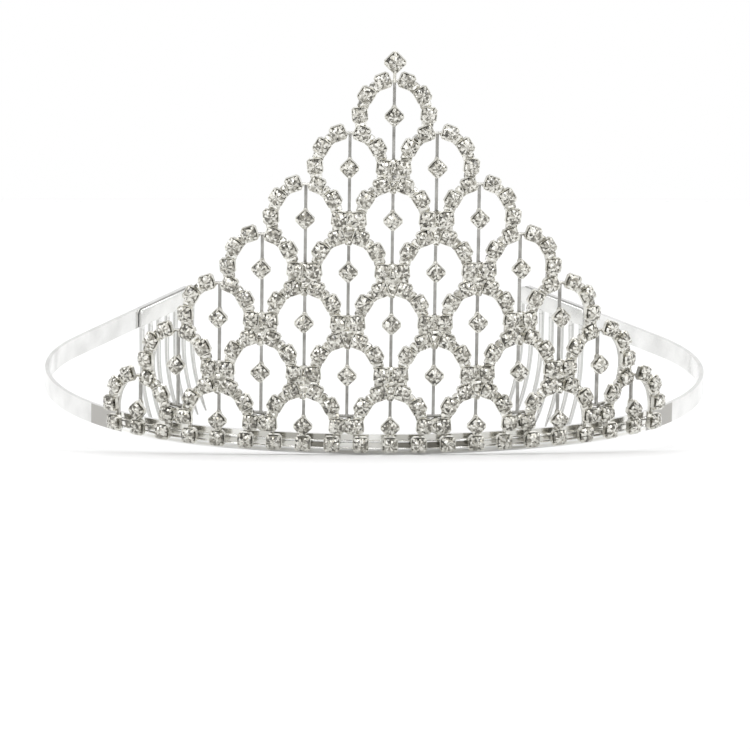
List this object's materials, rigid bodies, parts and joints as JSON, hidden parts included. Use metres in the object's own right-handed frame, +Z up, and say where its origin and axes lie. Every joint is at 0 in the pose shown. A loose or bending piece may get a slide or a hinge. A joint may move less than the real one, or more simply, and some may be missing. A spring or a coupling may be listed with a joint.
{
  "type": "bridal crown",
  "caption": "Bridal rhinestone crown: an open headband with a peaked lattice of 28 stone-set arches in seven rows and a comb at each end.",
  "frame": {"origin": "middle of the bounding box's bottom, on the surface that the crown rests on", "axes": "+Z up from the surface it rests on, -Y towards the viewer, where the lattice is, +X to the viewer's right. The band's plane leans 13.4 degrees forward."},
  "size_m": [0.144, 0.1548, 0.085],
  "materials": {
    "silver_plate": "bright silver plating",
    "crystal": "foil-backed cut crystal"
  },
  "bodies": {
    "root": {"headband": "silver_plate", "lattice": "silver_plate", "comb_left": "silver_plate", "comb_right": "silver_plate", "peak_stone": "crystal", "base_stones": "crystal", "row_1_stones": "crystal", "row_2_stones": "crystal", "row_3_stones": "crystal", "row_4_stones": "crystal", "row_5_stones": "crystal", "row_6_stones": "crystal", "row_7_stones": "crystal", "hanging_stone_1_1": "crystal", "hanging_stone_2_1": "crystal", "hanging_stone_2_2": "crystal", "hanging_stone_3_1": "crystal", "hanging_stone_3_2": "crystal", "hanging_stone_3_3": "crystal", "hanging_stone_4_1": "crystal", "hanging_stone_4_2": "crystal", "hanging_stone_4_3": "crystal", "hanging_stone_4_4": "crystal", "hanging_stone_5_1": "crystal", "hanging_stone_5_2": "crystal", "hanging_stone_5_3": "crystal", "hanging_stone_5_4": "crystal", "hanging_stone_5_5": "crystal", "hanging_stone_6_1": "crystal", "hanging_stone_6_2": "crystal", "hanging_stone_6_3": "crystal", "hanging_stone_6_4": "crystal", "hanging_stone_6_5": "crystal", "hanging_stone_6_6": "crystal", "hanging_stone_7_1": "crystal", "hanging_stone_7_2": "crystal", "hanging_stone_7_3": "crystal", "hanging_stone_7_4": "crystal", "hanging_stone_7_5": "crystal", "hanging_stone_7_6": "crystal", "hanging_stone_7_7": "crystal"}
  },
  "joints": []
}
